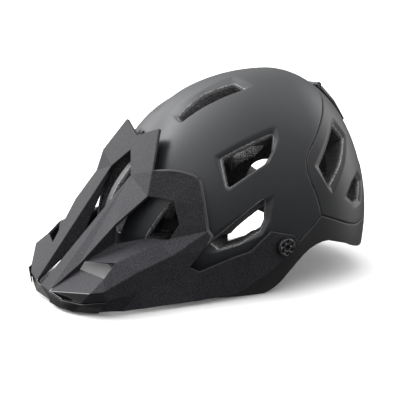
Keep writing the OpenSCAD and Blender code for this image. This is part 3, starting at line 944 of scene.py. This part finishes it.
def join(obs, name):
    bm = bmesh.new()
    mats = []
    for o in obs:
        off = []
        for m in o.data.materials:
            if m not in mats:
                mats.append(m)
            off.append(mats.index(m))
        n0 = len(bm.faces)
        bm.from_mesh(o.data)
        bm.faces.ensure_lookup_table()
        for f in bm.faces[n0:]:
            f.material_index = off[f.material_index] if off else 0
    me = bpy.data.meshes.new(name)
    bm.to_mesh(me)
    bm.free()
    for m in mats:
        me.materials.append(m)
    for o in obs:
        d = o.data
        bpy.data.objects.remove(o)
        if d.users == 0:
            bpy.data.meshes.remove(d)
    ob = bpy.data.objects.new(name, me)
    bpy.context.scene.collection.objects.link(ob)
    return ob


pk = join([pk] + ropes + [tube("boss", (s * 106.8, 28, 51), (s * 109.9, 28, 51), 8, VISOR, hole=3.2, bevel=0.0003) for s in (1, -1)], "peak_body")
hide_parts("visor")
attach(pk, "visor")


def soften(node, mat, width=0.0005, angle=28, seg=2, name=None, smooth=True):
    """A copy of a CAD piece with its edges eased, to stand for it."""
    src = nodes[node]
    me = src.data.copy()
    bm = bmesh.new()
    bm.from_mesh(me)
    bmesh.ops.remove_doubles(bm, verts=bm.verts, dist=1e-6)
    bmesh.ops.dissolve_limit(bm, angle_limit=math.radians(0.6), verts=bm.verts, edges=bm.edges)
    bm.to_mesh(me)
    bm.free()
    ob = bpy.data.objects.new(name or ("v_" + node), me)
    bpy.context.scene.collection.objects.link(ob)
    me.materials.clear()
    me.materials.append(mat)
    m = ob.modifiers.new("b", "BEVEL")
    m.width = width
    m.segments = seg
    m.limit_method = "ANGLE"
    m.angle_limit = math.radians(angle)
    m.use_clamp_overlap = True
    m.harden_normals = True
    apply_mods(ob)
    for p in ob.data.polygons:
        p.use_smooth = smooth
    bm = bmesh.new()
    bm.from_mesh(ob.data)
    for e in bm.edges:
        if len(e.link_faces) == 2 and e.calc_face_angle(0) > math.radians(36):
            e.smooth = False
    bm.to_mesh(ob.data)
    bm.free()
    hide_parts(node)
    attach(ob, nodes[node]["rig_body"])
    return ob


for n in ("visor_screw_left", "visor_screw_right"):
    soften(n, SCREW, 0.0006)
for n, w in [("goggle_clip", 0.0008), ("clip_base", 0.0004), ("strap_divider_left", 0.0006),
             ("strap_divider_right", 0.0006), ("buckle_socket", 0.0012), ("buckle_plug", 0.001), ("strap_keeper", 0.0006), ("dial_knob", 0.0005), ("visor_washers", 0.0003)]:
    soften(n, HARD, w)
soften("lip_trim", GLOSS, 0.0002, angle=12)
for n, w in [("fit_arm_left", 0.0004), ("fit_arm_right", 0.0004), ("arm_anchors", 0.0005), ("fit_cradle", 0.0004), ("height_guide", 0.0005), ("dial_housing", 0.0007),
             ("rack_left", 0.0002), ("rack_right", 0.0002), ("strap_anchors_front", 0.0006), ("strap_anchors_rear", 0.0006)]:
    soften(n, NYLON, w)
soften("dial_pinion", NYLON, 0.0001)
for n in ("visor_nuts", "clip_pin", "detent_spring"):
    soften(n, STEEL, 0.0002)
for n in ("front_strap_left", "front_strap_right", "rear_strap_left", "rear_strap_right", "chin_strap_left", "chin_strap_right"):
    soften(n, WEB, 0.0002)


# ------------------------------------------------------------------ pads
def pad_object(name, node, a0, a1, e0, e1, A=None, t=6.0, seam=True, res=1.6, gap=0.4):
    """A sewn pad on the inside of the cavity: flat against the liner, crowned towards the head."""
    A = A or inner(-gap)
    ca, ce = (a0 + a1) / 2, (e0 + e1) / 2
    Rm = float(1 / fld(direction(np.array([ca]), np.array([ce])), A)[0])
    wa = math.radians(a1 - a0) * Rm * math.cos(math.radians(ce))
    we = math.radians(e1 - e0) * Rm
    na, ne = max(8, int(wa / res)), max(8, int(we / res))
    rr = min(wa, we) * 0.32
    u = np.linspace(-1, 1, na + 1)
    v = np.linspace(-1, 1, ne + 1)
    X, Y = np.meshgrid(u, v)
    # round the corners of the outline
    hx, hy = wa / 2, we / 2
    px_, py_ = X * hx, Y * hy
    k = 1 - 0.5 * rr / max(hx, 1e-6) * np.abs(Y) ** 6
    k2 = 1 - 0.5 * rr / max(hy, 1e-6) * np.abs(X) ** 6
    px_, py_ = px_ * k, py_ * k2
    az = ca + np.degrees(px_ / (Rm * math.cos(math.radians(ce))))
    el = ce + np.degrees(py_ / Rm)
    U = direction(az.ravel(), el.ravel())
    d = np.minimum((1 - np.abs(X)) * hx, (1 - np.abs(Y)) * hy).ravel()
    crown = np.clip(d / 5.5, 0, 1)
    h = 1.4 + (t - 1.4) * np.sqrt(np.clip(1 - (1 - crown) ** 2, 0, 1)) * 0.96
    if seam:
        h -= 1.1 * np.exp(-(((d - 2.4) / 0.7) ** 2)) * (d > 0.2)
    P1 = O + U * (1 / fld(U, A))[:, None]
    P0 = O + U * (1 / fld(U, A) - h)[:, None]
    back = 0.0
    m = na + 1
    faces = [[j * m + i, j * m + i + 1, (j + 1) * m + i + 1, (j + 1) * m + i] for j in range(ne) for i in range(na)]

    class _S:
        pass

    ob = solid(name, _S, faces, P1, P0, PAD)
    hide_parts(node)
    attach(ob, nodes[node]["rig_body"])
    return ob


pad_object("pad_brow", "brow_pad", -40, 40, -8, 6)
pad_object("pad_crown_front", "crown_pad_front", -9, 9, 26, 62)
pad_object("pad_crown_rear", "crown_pad_rear", 168, 192, 56, 78)
pad_object("pad_crown_left", "crown_pad_left", 70, 104, 46, 66)
pad_object("pad_crown_right", "crown_pad_right", -104, -70, 46, 66)
pad_object("pad_side_left", "side_pad_left", 62, 88, 8, 17)
pad_object("pad_side_right", "side_pad_right", -88, -62, 8, 17)
pad_object("pad_nape", "nape_pad", 160, 200, -26, -8, A=inner(-27), t=4.0)
soften("chin_pad", PAD, 0.0012, seg=3)

# ------------------------------------------------------------------ stage, light, camera
bm = bmesh.new()
bmesh.ops.create_grid(bm, x_segments=1, y_segments=1, size=6)
me = bpy.data.meshes.new("floor")
bm.to_mesh(me)
bm.free()
floor = bpy.data.objects.new("floor", me)
floor.scale = (20, 20, 1)
bpy.context.scene.collection.objects.link(floor)
fm = bpy.data.materials.new("floor_pale")
fm.use_nodes = True
fb = fm.node_tree.nodes["Principled BSDF"]
fb.inputs["Base Color"].default_value = (0.93, 0.93, 0.93, 1)
fb.inputs["Roughness"].default_value = 0.9
fb.inputs["Specular IOR Level"].default_value = 0.1
me.materials.append(fm)
floor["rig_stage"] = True

cam_d = bpy.data.cameras.new("cam")
cam = bpy.data.objects.new("cam", cam_d)
bpy.context.scene.collection.objects.link(cam)
cam_d.lens = 786.0 * 36.0 / 400.0
cam_d.sensor_width = 36.0
cam_d.clip_start = 0.05
a, e = math.radians(62.8), math.radians(13.5)
back = Vector((math.sin(a) * math.cos(e), -math.cos(a) * math.cos(e), math.sin(e)))
cam.location = Vector((0.710, -0.370 + SY * 0.001, 0.268))
cam.rotation_euler = back.to_track_quat("Z", "Y").to_euler()
cam_d.dof.use_dof = False
bpy.context.scene.camera = cam


# one plain white round wall far away, so the floor has no visible end
wall_me = bpy.data.meshes.new("backdrop")
ring = [(90 * math.cos(math.radians(k * 7.5)), 90 * math.sin(math.radians(k * 7.5))) for k in range(48)]
wall_me.from_pydata([(x, y, -0.5) for x, y in ring] + [(x, y, 60) for x, y in ring], [], [[k, (k + 1) % 48, 48 + (k + 1) % 48, 48 + k] for k in range(48)])
backdrop = bpy.data.objects.new("backdrop", wall_me)
bpy.context.scene.collection.objects.link(backdrop)
bm_ = bpy.data.materials.new("backdrop_white")
bm_.use_nodes = True
bb = bm_.node_tree.nodes["Principled BSDF"]
bb.inputs["Emission Color"].default_value = (1, 1, 1, 1)
bb.inputs["Emission Strength"].default_value = 1.0
wall_me.materials.append(bm_)
backdrop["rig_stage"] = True
backdrop.visible_shadow = False
for o in (floor, backdrop):
    o.visible_glossy = False
    o.visible_diffuse = False

# soft studio light: a dim room with broad soft boxes in it, all in the surroundings
w = bpy.data.worlds.new("world")
bpy.context.scene.world = w
w.use_nodes = True
wt = w.node_tree
bg = wt.nodes["Background"]
bg.inputs["Color"].default_value = (1, 1, 1, 1)
wco = wt.nodes.new("ShaderNodeTexCoord").outputs["Generated"]


def wmath(op, x, y=0.0):
    n = wt.nodes.new("ShaderNodeMath")
    n.operation = op
    for s_, v_ in zip(n.inputs, (x, y)):
        if isinstance(v_, (int, float)):
            s_.default_value = v_
        else:
            wt.links.new(v_, s_)
    return n.outputs[0]


def soft_box(left, up, toward, spread, level):
    """A soft patch of light; its direction is in the camera's left, up and towards-the-camera."""
    L = Vector((-math.cos(a), -math.sin(a), 0))
    T = Vector((math.sin(a), -math.cos(a), 0))
    K = (L * left + Vector((0, 0, 1)) * up + T * toward).normalized()
    n = wt.nodes.new("ShaderNodeVectorMath")
    n.operation = "DOT_PRODUCT"
    wt.links.new(wco, n.inputs[0])
    n.inputs[1].default_value = K
    s2 = math.radians(spread) ** 2
    return wmath("MULTIPLY", wmath("EXPONENT", wmath("DIVIDE", wmath("SUBTRACT", n.outputs["Value"], 1.0), s2)), level)


BOXES = [(0.66, 0.62, -0.2, 24, 5.0), (0.15, 1.0, 0.1, 24, 1.6), (-0.9, 0.5, -0.35, 15, 3.2), (-0.95, 0.02, -0.2, 12, 2.0), (0.94, 0.32, -0.1, 12, 3.6), (0.1, 0.75, 0.9, 16, 0.9), (0.35, 0.12, 0.95, 10, 1.2)]
total = None
for bx in BOXES:
    v_ = soft_box(*bx)
    total = v_ if total is None else wmath("ADD", total, v_)
sx = wt.nodes.new("ShaderNodeSeparateXYZ")
wt.links.new(wco, sx.inputs[0])
room = wt.nodes.new("ShaderNodeMapRange")
room.inputs["From Min"].default_value = -0.3
room.inputs["From Max"].default_value = 0.6
room.inputs["To Min"].default_value = 0.12
room.inputs["To Max"].default_value = 0.42
wt.links.new(sx.outputs["Z"], room.inputs["Value"])
total = wmath("ADD", total, room.outputs["Result"])
wt.links.new(total, bg.inputs["Strength"])
bpy.context.scene.view_settings.view_transform = "Standard"

bounds_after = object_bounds()


def plain(b):
    if isinstance(b, dict):
        return {k: plain(v) for k, v in b.items()}
    if isinstance(b, (int, float, str)):
        return b
    return [plain(v) for v in list(b)]


{"before": plain(bounds_before), "after": plain(bounds_after)}
